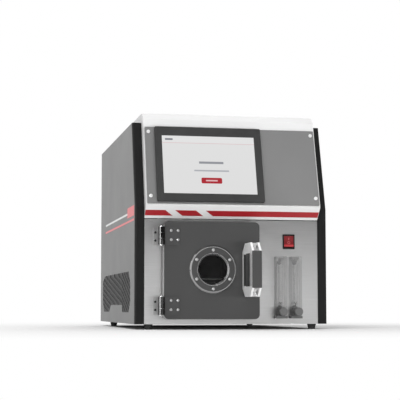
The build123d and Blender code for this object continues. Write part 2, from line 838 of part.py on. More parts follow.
def hinge_levels(z):
    """Heights of one hinge: foot, lower split, upper split, top."""
    half = hinge_height / 2
    part = hinge_height / 6
    return z - half, z - part, z + part, z + half


def hinge_bracket(z):
    """Panel half of a hinge: foot, web and two outer knuckles."""
    low, split_low, split_high, high = hinge_levels(z)
    foot = block(hinge_x - hinge_foot, hinge_x + hinge_plate / 2, -hinge_plate, 0, low, high)
    web = block(hinge_x - hinge_plate / 2, hinge_x + hinge_plate / 2, hinge_y, 0, low, high)
    bracket = foot + web + knuckle(low, split_low) + knuckle(split_high, high)
    bracket -= rod_z(tongue_reach + hinge_notch_gap, hinge_x, hinge_y, split_low, split_high)
    bracket -= rod_z(pin_radius + pin_clearance, hinge_x, hinge_y, low - 1, high + 1)
    for x, hole_z in bracket_screw_places(z):
        bracket -= rod_y(2.05, x, -hinge_plate - 1, 1, hole_z)
    return bracket


def hinge_leaf(z):
    """Door half of a hinge: plate and middle knuckle."""
    low, split_low, split_high, high = hinge_levels(z)
    plate = block(hinge_x + hinge_radius + 1.2, hinge_x + 38, door_front - hinge_plate, door_front, low, high)
    tongue = block(hinge_x + hinge_radius / 2, hinge_x + hinge_radius + 1.2, door_front - hinge_plate, door_front,
                   split_low + knuckle_gap, split_high - knuckle_gap)
    leaf = plate + tongue + knuckle(split_low + knuckle_gap, split_high - knuckle_gap)
    leaf -= rod_z(pin_radius + pin_clearance, hinge_x, hinge_y, low - 1, high + 1)
    for x, hole_z in leaf_holes(z):
        leaf -= rod_y(2.05, x, door_front - hinge_plate - 1, door_front + 1, hole_z)
    return leaf


def hinge_pin(z):
    """Pin with a flat head above and a turned, tapering end below."""
    low, split_low, split_high, high = hinge_levels(z)
    pin = rod_z(pin_radius, hinge_x, hinge_y, low, high)
    pin += rod_z(pin_radius + 1.4, hinge_x, hinge_y, high, high + 1.6)
    collar = rod_z(pin_radius + 1.9, hinge_x, hinge_y, low - 1.0, low)
    tip = Pos(hinge_x, hinge_y, low - 2.6) * Cone(1.2, pin_radius + 1.9, 3.2)
    return pin + collar + tip


def bracket_screw_places(z):
    return [(hinge_x - 7.4, z + shift) for shift in (-8.3, 8.3)]


def leaf_holes(z):
    middle = z + hinge_drop
    return [(hinge_x + reach, middle + shift) for reach in (20.5, 34.8) for shift in (-9.4, 9.4)]


def leaf_screw_places():
    return [place for z in hinge_centres() for place in leaf_holes(z)]


def bracket_screws():
    screw = dome_screw(2.4, 1.5, 2.0, hinge_plate)
    return Compound([Pos(x, -hinge_plate, hole_z) * screw for z in hinge_centres()
                     for x, hole_z in bracket_screw_places(z)])


def chamber_stands():
    """Two saddles that carry the chamber on the base pan."""
    top = door_z - chamber_outer
    half = chamber_bore / 2
    stands = []
    for y in (stand_first, stand_second):
        channel = block(door_x - half, door_x + half, y, y + stand_width, sheet, top)
        channel -= block(door_x - half - 1, door_x + half + 1, y + sheet, y + stand_width - sheet,
                         2 * sheet, top - sheet)
        stands.append(channel)
    return Compound(stands)


def chamber_rails():
    """Insulating ledges on the chamber's side walls that carry the tray."""
    half = chamber_bore / 2
    rail = block(door_x - half, door_x - half + 12, 14, chamber_depth - 20, tray_height - 8, tray_height)
    rail += block(door_x - half, door_x - half + 5, 14, chamber_depth - 20, tray_height, tray_height + 6)
    other = Pos(door_x, 0, 0) * mirror(Pos(-door_x, 0, 0) * rail, about=Plane.YZ)
    return Compound([rail, other])


def tray():
    """Perforated sample tray with a turned-up front lip."""
    half = chamber_bore / 2 - 6
    front = 22.0
    low = tray_height + tray_lift
    plate = block(door_x - half, door_x + half, front, chamber_depth - 24, low, low + tray_sheet)
    plate += block(door_x - half, door_x + half, front, front + tray_sheet, low + tray_sheet, low + 8)
    columns = 5
    rows = 8
    pitch_x = 2 * (half - 14) / (columns - 1)
    pitch_y = (chamber_depth - 24 - front - 36) / (rows - 1)
    for column in range(columns):
        for row in range(rows):
            x = door_x - half + 14 + column * pitch_x
            y = front + 18 + row * pitch_y
            plate -= rod_z(6, x, y, low - 1, low + tray_sheet + 1)
    return plate


def upper_electrode():
    """Powered plate under the chamber's roof."""
    half = chamber_bore / 2 - 16
    plate = block(door_x - half, door_x + half, 34, chamber_depth - 34, electrode_height,
                  electrode_height + electrode_sheet)
    return fillet(plate.edges().filter_by(Axis.Z), 6)


def electrode_posts():
    """Ceramic posts that hang the powered plate."""
    roof = door_z + chamber_bore / 2
    half = chamber_bore / 2 - 30
    low = electrode_height + electrode_sheet
    return Compound([rod_z(6, door_x + side * half, y, low, roof) for side in (-1, 1)
                     for y in (54, chamber_depth - 54)])


def feedthrough():
    """Ceramic bush and rod that bring power through the chamber's roof."""
    roof = door_z + chamber_bore / 2
    top = roof + chamber_wall
    bush = rod_z(feed_seat_radius - feed_clearance, door_x, feed_y, roof, top)
    rod = rod_z(3, door_x, feed_y, electrode_height + electrode_sheet, roof)
    return bush + rod


def matching_box():
    """Tuning network in its screened case on the chamber."""
    low = door_z + chamber_outer
    front = chamber_outer - chamber_wall - 2 * tray_lip
    back = front + match_depth
    half = match_width / 2
    case = block(door_x - half, door_x + half, front, back, low, low + match_height)
    case = fillet(case.edges().filter_by(Axis.Z), 2 * cover_sheet)
    lid = block(door_x - half + module_gap, door_x + half - module_gap, front + module_gap, back - module_gap,
                low + match_height, low + match_height + sheet)
    return case + lid


def generator():
    """Radio-frequency generator with cooling fins along its top."""
    left = module_gap + sheet - half_width
    right = left + generator_width
    front = chamber_back + 3 * module_gap
    top = sheet + generator_height
    case = block(left, right, front, front + generator_depth, sheet, top)
    for number in range(int(generator_depth / fin_pitch)):
        y = front + fin_pitch / 2 + number * fin_pitch
        case += block(left + module_gap, right - module_gap, y, y + fin_sheet, top, top + fin_height)
    return case


def power_supply():
    right = half_width - 3 * module_gap
    front = chamber_back + module_gap
    return block(right - supply_width, right, front, front + supply_depth, sheet, sheet + supply_height)


def rear_panel():
    """Rear sheet with openings for the fan, the inlet, the vacuum port and the gas fittings."""
    y0 = cabinet_depth - sheet
    y1 = cabinet_depth
    panel = block(-half_width, half_width, y0, y1, 0, hood_top - hood_sheet)
    panel -= rod_y(fan_size / 2 - 4, fan_x, y0 - 1, y1 + 1, fan_z)
    panel -= block(inlet_x - 13.6, inlet_x + 13.6, y0 - 1, y1 + 1, inlet_z - 10, inlet_z + 10)
    panel -= rod_y(port_flange_radius + 2, port_x, y0 - 1, y1 + 1, door_z)
    for x in gas_port_places():
        panel -= rod_y(6.05, x, y0 - 1, y1 + 1, gas_port_z)
    for x, z in fan_screw_places() + rear_screw_places():
        panel -= rod_y(2.05, x, y0 - 1, y1 + 1, z)
    return panel


def gas_port_places():
    return meter_places()


def fan_screw_places():
    reach = fan_size / 2 - 7.5
    return [(fan_x + side * reach, fan_z + up * reach) for side in (-1, 1) for up in (-1, 1)]


def fan_frame():
    """Axial fan housing with a round duct and a spider that carries the hub."""
    back = cabinet_depth - sheet
    front = back - fan_depth
    face = RectangleRounded(fan_size, fan_size, 6)
    frame = plate_y(face, fan_x, front, back, fan_z) - rod_y(fan_size / 2 - 4, fan_x, front - 1, back + 1, fan_z)
    frame += rod_y(19, fan_x, front, front + 4, fan_z)
    for number in range(3):
        arm = Rot(0, 120 * number, 0) * block(17, fan_size / 2 - 2, 0, 3, -2.5, 2.5)
        frame += Pos(fan_x, front, fan_z) * arm
    for x, z in fan_screw_places():
        frame -= rod_y(2.05, x, front - 1, back + 1, z)
    return frame


def fan_rotor():
    """Hub with seven pitched blades."""
    back = cabinet_depth - sheet
    front = back - fan_depth + 4.4
    hub = Pos(0, 0, 0) * rod_y(18.5, 0, 0, 17, 0)
    for number in range(7):
        blade = Pos(35, 8.5, 0) * Rot(38, 0, 0) * Box(36, 1.6, 22)
        hub += Rot(0, 360 / 7 * number, 0) * blade
    return Pos(fan_x, front, fan_z) * hub


def fan_guard():
    """Finger guard: wire rings welded to four radial wires that end in screw eyes."""
    ring_y = cabinet_depth + guard_rise - guard_wire
    spoke_y = ring_y - 1.5 * guard_wire
    guard = None
    eye_reach = (fan_size / 2 - 7.5) * sqrt(2)
    for turn in (45, 135, 225, 315):
        drop = cabinet_depth + guard_foot / 2 - spoke_y
        spoke = wire_run([(guard_rings[0] - 2, 0), (guard_rings[-1] + 2, 0), (eye_reach - 3, drop)], 2, guard_wire)
        spoke = Pos(fan_x, spoke_y, fan_z) * Rot(0, turn, 0) * spoke
        guard = spoke if guard is None else guard + spoke
    for radius in guard_rings:
        guard += Pos(fan_x, ring_y, fan_z) * Rot(90, 0, 0) * Torus(radius, guard_wire)
    for x, z in fan_screw_places():
        eye = rod_y(4.2, x, cabinet_depth, cabinet_depth + guard_foot, z)
        guard += eye
        guard -= rod_y(2.05, x, cabinet_depth - 1, cabinet_depth + guard_foot + 1, z)
    return guard


def mains_inlet():
    """Appliance inlet with three pins and two screwed ears."""
    back = cabinet_depth
    ears = plate_y(RectangleRounded(50, 22.5, 5), 0, 0, 3, 0)
    body = block(-13.4, 13.4, -18, 0, -9.8, 9.8)
    shell = polygon((-12, -8), (12, -8), (12, 3), (7, 8), (-7, 8), (-12, 3))
    well = plate_y(shell, 0, -13, 4, 0)
    inlet = ears + body - well
    for x, z in ((-7, -1), (7, -1), (0, 3)):
        inlet += block(x - 1, x + 1, -14, 1, z - 2, z + 2)
    for x in (-20, 20):
        inlet -= rod_y(1.7, x, -1, 4, 0)
    return Pos(inlet_x, back, inlet_z) * inlet


def vacuum_pipe():
    """Pipe with two flanges, from the chamber's back to the valve."""
    end = chamber_back + pipe_length
    pipe = rod_y(pipe_radius + port_wall, port_x, chamber_back, end, door_z)
    pipe += rod_y(port_flange_radius, port_x, chamber_back, chamber_back + port_flange, door_z)
    pipe += rod_y(port_flange_radius, port_x, end - port_flange, end, door_z)
    return pipe - rod_y(pipe_radius, port_x, chamber_back - 1, end + 1, door_z)


def vacuum_valve():
    """Solenoid shut-off valve with its coil on top."""
    start = chamber_back + pipe_length
    end = start + valve_length
    middle = (start + end) / 2
    half = valve_size / 2
    body = block(port_x - half, port_x + half, start, end, door_z - half, door_z + half)
    body = fillet(body.edges().filter_by(Axis.Y), 5)
    body -= rod_y(pipe_radius, port_x, start - 1, end + 1, door_z)
    low = door_z + half + cover_sheet
    coil = block(port_x - coil_width / 2, port_x + coil_width / 2, middle - coil_width / 2,
                 middle + coil_width / 2, low, low + coil_height)
    coil = fillet(coil.edges().filter_by(Axis.Z), 5)
    return body + coil + rod_z(coil_width / 4, port_x, middle, low - cover_sheet - 1, low + 1)


def vacuum_port():
    """Pump connection: a stub with a clamp flange, which passes through the rear panel."""
    start = chamber_back + pipe_length + valve_length
    outer = port_radius + port_wall
    stub = rod_y(outer, port_x, start, port_end, door_z)
    stub += rod_y(port_flange_radius, port_x, start, start + port_flange, door_z)
    rim = polygon((outer - 0.5, port_end - 6.5), (port_flange_radius, port_end - 3.2),
                  (port_flange_radius, port_end), (outer - 0.5, port_end))
    stub += Pos(port_x, 0, door_z) * revolve(rim, Axis.Y)
    return stub - rod_y(port_radius, port_x, start - 1, port_end + 1, door_z)


def vacuum_gauge():
    """Pressure gauge head on the chamber's back wall."""
    x = port_x + chamber_bore / 2 - gauge_size / 2 - 2
    z = door_z + chamber_bore / 2 - gauge_size + 4
    neck = chamber_back + gauge_neck
    stem = rod_y(gauge_stem, x, chamber_back, neck, z)
    return stem + plate_y(RectangleRounded(gauge_size, gauge_size, 5), x, neck, neck + gauge_depth, z)


def gas_valves():
    """Two solenoid valves on the base pan, one for each gas."""
    start = gas_valve_y
    end = gas_valve_y + gas_valve_length
    middle = (start + end) / 2
    valves = []
    for x in gas_port_places():
        body = block(x - 11, x + 11, start, end, gas_port_z - 12, gas_port_z + 10)
        coil = block(x - 12, x + 12, start + 2, end - 2, gas_port_z + 12, gas_port_z + 46)
        leg = block(x - 8, x + 8, start + tube_seat, end - tube_seat, sheet, gas_port_z - 12)
        valve = body + coil + leg + rod_z(7, x, middle, gas_port_z + 9, gas_port_z + 13)
        valve -= rod_y(tube_radius + tube_clearance, x, start - 1, start + tube_seat, gas_port_z)
        valves.append(valve - rod_y(tube_radius + tube_clearance, x, end - tube_seat, end + 1, gas_port_z))
    return Compound(valves)


def gas_fittings():
    """Brass fittings: two on each meter, and a push-in bulkhead port for each gas at the back."""
    back = cabinet_depth
    end = back + gas_port_reach
    start = end - gas_port_length
    ports = [piece for x in meter_places() for piece in meter_fittings(x)]
    for x in gas_port_places():
        port = rod_y(6.0, x, start, end, gas_port_z)
        port += Pos(x, back - sheet - 3, gas_port_z) * Rot(90, 0, 0) * extrude(RegularPolygon(9, 6), 3, both=True)
        port += rod_y(8.5, x, back, back + 4, gas_port_z) + rod_y(7.2, x, back + 10, end, gas_port_z)
        port -= rod_y(gas_bore, x, end - gas_port_depth, end + 1, gas_port_z)
        port -= rod_y(gas_throat, x, start - 1, end, gas_port_z)
        ports.append(port - rod_y(tube_radius + tube_clearance, x, start - 1, start + tube_seat, gas_port_z))
    return Compound(ports)


def gas_tubes():
    """Nylon tubes: port to valve, valve to meter, and each meter to the chamber's side."""
    low, high = meter_ports()
    start = meter_fitting_end - tube_seat
    wall = door_x + chamber_bore / 2 + 1
    valve_end = gas_valve_y + gas_valve_length
    port_start = cabinet_depth + gas_port_reach - gas_port_length
    pieces = []
    for x, inlet_y in zip(meter_places(), gas_inlets):
        pieces.append(rod_y(tube_radius, x, valve_end - tube_seat + 0.5, port_start + tube_seat - 0.5, gas_port_z))
        to_meter = [(x, gas_valve_y + tube_seat - 0.5, gas_port_z), (x, 112, gas_port_z), (x, 66, low), (x, start, low)]
        pieces.append(wire_run(to_meter, 24, tube_radius))
        to_chamber = [(x, start, high), (x, inlet_y, high), (wall, inlet_y, high)]
        pieces.append(wire_run(to_chamber, 24, tube_radius))
    return Compound(pieces)


def rear_screw_places():
    return [(side * (half_width - 8), z) for side in (-1, 1) for z in (30, 160, 290, 415)]


def rear_screws():
    """Button-head screws of the rear panel and of the fan."""
    short = Rot(0, 0, 180) * dome_screw(3.4, 2.0, 2.0, sheet)
    long = Rot(0, 0, 180) * dome_screw(3.4, 2.0, 2.0, guard_foot + sheet + fan_depth)
    screws = [Pos(x, cabinet_depth, z) * short for x, z in rear_screw_places()]
    return Compound(screws + [Pos(x, cabinet_depth + guard_foot, z) * long for x, z in fan_screw_places()])


def save(shape, name):
    export_step(Pos(0, front_y, foot_height) * shape, f"parts/{name}.step")


def save_pair(shape, name):
    save(shape, name + "_left")
    save(mirror(shape, about=Plane.YZ), name + "_right")


def save_meters():
    save(Compound([flow_meter(x) for x in meter_places()]), "flow_meters")
    save(Compound([meter_base(x) for x in meter_places()]), "meter_bases")
    for number, x in enumerate(meter_places(), 1):
        save(flow_float(x), f"flow_float_{number}")
        save(flow_knob(x), f"flow_knob_{number}")


os.makedirs("parts", exist_ok=True)
save_pair(side_frame(), "side_frame")
save_pair(side_cover(), "side_cover")
save(both_sides(vent_filter()), "vent_filters")
save(base_pan(), "base_pan")
save(front_panel(), "front_panel")
save(hood(), "hood")
save(rear_panel(), "rear_panel")
save(rear_screws(), "rear_screws")
save(feet(), "feet")
save(accent_stripes(), "accent_stripes")
save(control_panel(), "control_panel")
save(panel_screws(), "panel_screws")
save(screen_housing(), "screen_housing")
save(screen_glass(), "screen_glass")
save(switch_housing(), "switch_housing")
save(rocker(), "rocker")
save_meters()
save(chamber(), "chamber")
save(door_seal(), "door_seal")
save(chamber_stands(), "chamber_stands")
save(chamber_rails(), "chamber_rails")
save(tray(), "tray")
save(upper_electrode(), "upper_electrode")
save(electrode_posts(), "electrode_posts")
save(feedthrough(), "feedthrough")
save(matching_box(), "matching_box")
save(generator(), "rf_generator")
save(power_supply(), "power_supply")
save(door_panel(), "door_panel")
save(door_cover(), "door_cover")
save(window_seal(), "window_seal")
save(window_glass(), "window_glass")
save(window_clamp(), "window_clamp")
save(window_ring(), "window_ring")
save(door_screws(), "door_screws")
save(handle_cheeks(), "handle_cheeks")
save(handle_grip(), "handle_grip")
save(handle_spacers(), "handle_spacers")
save(Compound([hinge_bracket(z) for z in hinge_centres()]), "hinge_brackets")
save(Compound([hinge_leaf(z) for z in hinge_centres()]), "hinge_leaves")
save(Compound([hinge_pin(z) for z in hinge_centres()]), "hinge_pins")
save(bracket_screws(), "bracket_screws")
save(fan_frame(), "fan_frame")
save(fan_rotor(), "fan_rotor")
save(fan_guard(), "fan_guard")
save(mains_inlet(), "mains_inlet")
save(vacuum_pipe(), "vacuum_pipe")
save(vacuum_valve(), "vacuum_valve")
save(vacuum_port(), "vacuum_port")
save(vacuum_gauge(), "vacuum_gauge")
save(gas_valves(), "gas_valves")
save(gas_fittings(), "gas_fittings")
save(gas_tubes(), "gas_tubes")
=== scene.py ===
import json
from math import cos, radians, sin, tau

import bpy
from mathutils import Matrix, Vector


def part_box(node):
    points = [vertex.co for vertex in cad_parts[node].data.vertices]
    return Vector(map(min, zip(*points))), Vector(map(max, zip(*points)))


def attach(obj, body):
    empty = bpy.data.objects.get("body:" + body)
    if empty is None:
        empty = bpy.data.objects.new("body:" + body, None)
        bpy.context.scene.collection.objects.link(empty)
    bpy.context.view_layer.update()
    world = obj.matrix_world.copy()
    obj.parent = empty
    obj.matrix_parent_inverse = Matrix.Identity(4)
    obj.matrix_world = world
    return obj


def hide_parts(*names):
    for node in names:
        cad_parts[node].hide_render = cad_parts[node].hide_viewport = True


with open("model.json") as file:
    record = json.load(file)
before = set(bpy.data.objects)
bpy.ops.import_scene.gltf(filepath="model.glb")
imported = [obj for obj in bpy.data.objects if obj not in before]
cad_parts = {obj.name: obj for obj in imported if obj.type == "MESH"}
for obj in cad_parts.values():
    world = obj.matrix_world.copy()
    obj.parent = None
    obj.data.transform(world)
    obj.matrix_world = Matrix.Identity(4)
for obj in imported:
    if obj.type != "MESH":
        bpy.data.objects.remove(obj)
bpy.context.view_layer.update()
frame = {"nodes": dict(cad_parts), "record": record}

# A plasma cleaner on a bench. Metres, in the part's own frame: +Z up, front towards -Y.

MM = 0.001
CONSOLE_LEAN = radians(15.5)
METER_PITCH = 32.5 * MM
WHITE = (1, 1, 1, 1)

# The photograph's camera
CAMERA_PLACE = Vector((-0.56338, -2.75546, 0.04501))
CAMERA_YAW = 0.1959
CAMERA_PITCH = 0.0874
CAMERA_LENS = 110.37
CAMERA_SENSOR = 36


def linear(red, green, blue):
    """A printed colour of 0 to 255 as scene light."""
    parts = [((level / 255 + 0.055) / 1.055) ** 2.4 for level in (red, green, blue)]
    return (*parts, 1)


def grey(level):
    """A printed grey of 0 to 255 as scene light."""
    return linear(level, level, level)


def shade(colour, share):
    """A colour made darker or lighter by a share."""
    return (*(min(1, share * part) for part in colour[:3]), 1)


class Value:
    """A node's socket that takes part in sums."""

    def __init__(self, nodes, socket):
        self.nodes = nodes
        self.socket = socket

    def math(self, operation, *others):
        """Any Math node, with this value as its first."""
        values = dict(enumerate((self, *others)))
        return self.nodes.node("ShaderNodeMath", {"operation": operation}, values)

    def least(self, *others):
        """The least of several values."""
        result = self
        for other in others:
            result = result.math("MINIMUM", other)
        return result

    def most(self, *others):
        """The greatest of several values."""
        result = self
        for other in others:
            result = result.math("MAXIMUM", other)
        return result

    def __add__(self, other):
        return self.math("ADD", other)

    __radd__ = __add__

    def __sub__(self, other):
        return self.math("SUBTRACT", other)

    def __rsub__(self, other):
        return self.math("MULTIPLY_ADD", -1, other)

    def __mul__(self, other):
        return self.math("MULTIPLY", other)

    __rmul__ = __mul__

    def __truediv__(self, other):
        return self.math("DIVIDE", other)

    def __rtruediv__(self, other):
        return self.nodes.node("ShaderNodeMath", {"operation": "DIVIDE"}, {0: other, 1: self})

    def __lt__(self, other):
        return self.math("LESS_THAN", other)

    def __gt__(self, other):
        return self.math("GREATER_THAN", other)

    def __neg__(self):
        return self.math("MULTIPLY", -1)

    def __abs__(self):
        return self.math("ABSOLUTE")


def reach_of(first, second):
    """Distance from a middle, out of two distances at right angles."""
    return (first * first + second * second).math("SQRT")


class Nodes:
    """A tree of nodes, shader or geometry, with one way to make any node."""

    def __init__(self, tree):
        self.tree = tree
        self.tree.nodes.clear()

    def node(self, kind, settings=None, values=None, output=0):
        """Any node, with its settings first and then its sockets' values or links."""
        made = self.tree.nodes.new(kind)
        for key, setting in (settings or {}).items():
            setattr(made, key, setting)
        for key, value in (values or {}).items():
            for one in value if isinstance(value, list) else [value]:
                if isinstance(one, Value):
                    self.tree.links.new(one.socket, made.inputs[key])
                else:
                    made.inputs[key].default_value = one
        return Value(self, made.outputs[output]) if len(made.outputs) else None

    def ray(self, kind):
        """1 for the rays of one kind, such as Is Camera Ray."""
        return self.node("ShaderNodeLightPath", output=kind)


class Finish(Nodes):
    """One procedural material on object coordinates."""

    def __init__(self, name):
        self.material = bpy.data.materials.new(name)
        self.material.use_nodes = True
        super().__init__(self.material.node_tree)
        self.place = self.node("ShaderNodeTexCoord", output="Object")
        split = self.node("ShaderNodeSeparateXYZ", values={0: self.place})
        self.x, self.y, self.z = (Value(self, socket) for socket in split.socket.node.outputs)

    def scaled(self, size, stretch=(1, 1, 1)):
        """The place on the piece, counted in this many millimetres."""
        scale = tuple(1 / (size * MM * part) for part in stretch)
        return self.node("ShaderNodeMapping", values={"Vector": self.place, "Scale": scale})

    def noise(self, size, detail=2, stretch=(1, 1, 1), roughness=0.5):
        """Noise whose cells are about this many millimetres wide, times the stretch."""
        return self.node("ShaderNodeTexNoise", values={
            "Vector": self.scaled(size, stretch), "Scale": 1, "Detail": detail, "Roughness": roughness})

    def cells(self, size):
        """Distance from the middles of cells about this many millimetres wide."""
        return self.node("ShaderNodeTexVoronoi", values={"Vector": self.scaled(size), "Scale": 1})

    def ramp(self, value, start, end, low=0.0, high=1.0):
        """A value taken from one range to another, held at its ends."""
        return self.node("ShaderNodeMapRange", {"clamp": True}, {
            "Value": value, "From Min": start, "From Max": end, "To Min": low, "To Max": high})

    def mix(self, factor, first, second):
        """One colour at a factor of 0, the other at 1."""
        return self.node("ShaderNodeMix", {"data_type": "RGBA"}, {0: factor, 6: first, 7: second}, output=2)

    def blotches(self, noise, first, second, amount=1.0, start=0.35, end=0.7):
        """One colour that passes into another, up to an amount, where the noise is high."""
        return self.mix(self.ramp(noise, start, end, 0, amount), first, second)

    def gloss(self, noise, smooth, rough, start=0.3, end=0.7):
        """Roughness that follows the noise between two values."""
        return self.ramp(noise, start, end, smooth, rough)

    def bump(self, height, depth, strength=1.0):
        """Relief of this many millimetres."""
        return self.node("ShaderNodeBump", values={
            "Height": height, "Distance": depth * MM, "Strength": strength})

    def surface(self, **sockets):
        """The material, of one principled shader whose sockets are given by name."""
        values = {name.replace("_", " "): value for name, value in sockets.items()}
        return self.close(self.node("ShaderNodeBsdfPrincipled", values=values))

    def close(self, shader):
        """The material, with this shader at its end."""
        self.node("ShaderNodeOutputMaterial", values={"Surface": shader})
        return self.material


def powder_coat(name, colour, dust, roughness=0.45, grain=0.7, shine=0.5):
    """Stoved powder paint: a fine orange peel, a trace of handling and a few specks."""
    made = Finish(name)
    peel = made.noise(grain, detail=3)
    cloud = made.noise(90, detail=3)
    speck = made.ramp(made.cells(1.6), 0.0, 0.12, 1.0, 0.0)
    base = made.blotches(cloud, colour, dust, amount=0.35)
    base = made.mix(speck * 0.12, base, dust)
    return made.surface(Base_Color=base, Roughness=made.gloss(cloud, roughness - 0.01, roughness + 0.03),
                        Specular_IOR_Level=shine, Normal=made.bump(peel, 0.05, 0.35))


def vent_shade_mask(made):
    """Mask of the painted shade round the vent slots, standing in for a recessed vent of shaded louvre
    blades: a clipped oblong with a notch in its foot, in mm.
    """
    front, back = 66.0, 552.0
    low, high = 23.6, 111.0
    corner = 24.0
    rear_fall = 0.25
    notch_front, notch_back = 200.0, 392.0
    notch_high = 15.8
    front_flank, rear_flank = 2.0, 0.5
    depth = (made.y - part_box("front_panel")[0].y) / MM
    rise = (made.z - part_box("side_cover_left")[0].z) / MM
    past_front = depth - front
    to_back = back - depth
    above = rise - low
    below = high - rise
    inside = past_front.least(
        to_back, above, below,
        past_front + above - corner,
        to_back + above - corner,
        past_front + below - corner,
        to_back * rear_fall + below - corner / 2)
    under_notch = notch_high - above
    notch = under_notch.least(
        (depth - notch_front) * front_flank + under_notch,
        (notch_back - depth) * rear_flank + under_notch)
    return made.ramp(inside.least(-notch), 0.0, 1.0)


def cover_paint():
    """Cover: stoved grey, duller round the vent slots and darkened there as painted shade."""
    made = Finish("cover_grey")
    peel = made.noise(0.7, detail=3)
    cloud = made.noise(90, detail=3)
    painted_vent_shade = vent_shade_mask(made)
    base = made.blotches(cloud, grey(114), grey(110), amount=0.35)
    # Painted shade: the webs between the vent slots darkened, as if shaded
    base = made.mix(painted_vent_shade, base, grey(68))
    return made.surface(Base_Color=base, Roughness=made.gloss(cloud, 0.44, 0.48) + painted_vent_shade * 0.35,
                        Normal=made.bump(peel, 0.05, 0.35))


def moulded(name, colour, roughness=0.5, shine=0.25):
    """Moulded plastic with a spark-eroded grain."""
    made = Finish(name)
    pebble = made.noise(0.45)
    cloud = made.noise(40)
    base = made.blotches(cloud, colour, shade(colour, 1.35), amount=0.5)
    return made.surface(Base_Color=base, Roughness=made.gloss(cloud, roughness - 0.05, roughness + 0.05),
                        Specular_IOR_Level=shine, Normal=made.bump(pebble, 0.04, 0.5))


def brushed_sheet(name, colour, along=(60, 1, 0.25), roughness=0.33, metallic=1.0):
    """Sheet metal with long fine grinding lines."""
    made = Finish(name)
    line = made.noise(1.2, detail=4, stretch=along, roughness=0.7)
    broad = made.noise(9, stretch=along)
    base = made.blotches(line, colour, shade(colour, 0.72), amount=0.6, start=0.3, end=0.72)
    rough = made.gloss(line * 0.6 + broad * 0.4, roughness - 0.07, roughness + 0.12)
    return made.surface(Base_Color=base, Metallic=metallic, Roughness=rough,
                        Normal=made.bump(line, 0.02, 0.5))


def turned_metal(name, colour, roughness=0.18, metallic=1.0):
    """Bare metal with fine tool marks and faint smears."""
    made = Finish(name)
    mark = made.noise(0.5, detail=3)
    smear = made.noise(14, detail=3, stretch=(1, 1, 2))
    base = made.blotches(smear, colour, shade(colour, 0.8), amount=0.6, end=0.75)
    rough = made.gloss(smear, roughness - 0.05, roughness + 0.12, end=0.75)
    return made.surface(Base_Color=base, Metallic=metallic, Roughness=rough,
                        Normal=made.bump(mark, 0.01, 0.3))


def soft_rubber(name, colour):
    """Rubber with a dusty bloom."""
    made = Finish(name)
    grain = made.noise(0.8, detail=4)
    dust = made.noise(12, detail=4)
    base = made.blotches(dust, colour, grey(70), amount=0.5, start=0.45, end=0.75)
    return made.surface(Base_Color=base, Roughness=0.75, Normal=made.bump(grain, 0.08, 0.5))


def window_pane():
    """Clear window with faint wiping marks."""
    made = Finish("window_glass")
    wipe = made.noise(20, detail=4, stretch=(1, 1, 3))
    return made.surface(Base_Color=grey(150), Roughness=made.gloss(wipe, 0.0, 0.08, start=0.4, end=0.8),
                        Transmission_Weight=1.0, IOR=1.2, Specular_IOR_Level=0.2)


def meter_block():
    """Polished acrylic, thin to the eye: a clear film, with painted shade at its rims and round its bore,
    where it is darker and less clear.
    """
    made = Finish("meter_acrylic")
    half_width = 11.0 * MM
    bore_radius = 4.1 * MM
    wipe = made.noise(16, detail=3, stretch=(1, 1, 3))
    along = (made.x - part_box("flow_meters")[0].x).math("MODULO", METER_PITCH)
    across = abs(along - half_width)
    rim = made.ramp(across, half_width - 1.2 * MM, half_width - 0.4 * MM)
    bore = made.ramp(abs(across - bore_radius), 0.5 * MM, 0.2 * MM)
    edge = rim.most(bore * 0.6)
    base = made.blotches(wipe, grey(150), grey(164), end=0.75)
    # Painted shade: the rims and bore darkened and made less clear
    base = made.mix(edge, base, grey(96))
    return made.surface(Base_Color=base, Roughness=made.gloss(wipe, 0.08, 0.16, start=0.4, end=0.8),
                        Alpha=0.07 + edge * 0.18, IOR=1.2)


def tinted_panel():
    """Grey acrylic printed on the back, with a satin front."""
    made = Finish("tinted_acrylic")
    cloud = made.noise(160)
    wipe = made.noise(30)
    return made.surface(Base_Color=made.blotches(cloud, grey(126), grey(121)),
                        Roughness=made.gloss(wipe, 0.29, 0.3, end=0.8), Specular_IOR_Level=0.3)


def hinge_bracket_metal():
    """Bracket: its foot plain like the panel, its knuckles of black chrome."""
    made = Finish("hinge_bracket")
    foot_sheet = 3.1 * MM
    on_foot = made.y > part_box("hinge_brackets")[1].y - foot_sheet
    smear = made.noise(9, detail=3)
    base = made.mix(on_foot, grey(80), grey(190))
    rough = made.gloss(smear, 0.05, 0.08, end=0.75) + on_foot * 0.35
    return made.surface(Base_Color=base, Metallic=1 - on_foot * 0.4, Roughness=rough)


def hinge_leaf_metal():
    """Leaf: its plate in the door's paint, its knuckle of black chrome."""
    made = Finish("hinge_leaf")
    plate_start = 14.4 * MM
    on_plate = made.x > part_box("hinge_leaves")[0].x + plate_start
    peel = made.noise(0.4, detail=3)
    base = made.mix(on_plate, grey(80), grey(71))
    return made.surface(Base_Color=base, Metallic=1 - on_plate, Roughness=0.06 + on_plate * 0.39,
                        Specular_IOR_Level=0.2, Normal=made.bump(peel, 0.03, 0.2))


def cheek_metal():
    """Handle cheek: bead-blasted, with painted shade on the back wall of its finger hole."""
    made = Finish("cheek_blasted")
    hole_half = 33.5 * MM
    hole_inset = 11.0 * MM
    low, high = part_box("handle_cheeks")
    from_middle = abs(made.z - (low.z + high.z) / 2)
    from_wall = abs(made.y - (high.y - hole_inset))
    wall = made.ramp(from_wall, 0.4 * MM, 0.1 * MM) * made.ramp(from_middle, hole_half + 0.3 * MM, hole_half)
    grain = made.noise(0.5, detail=3)
    cloud = made.noise(14, detail=3)
    base = made.blotches(cloud, grey(246), grey(236), end=0.75)
    # Painted shade: the back wall of the finger hole made dark
    base = made.mix(wall, base, grey(34))
    return made.surface(Base_Color=base, Metallic=0.2, Roughness=0.5, Normal=made.bump(grain, 0.01, 0.3))


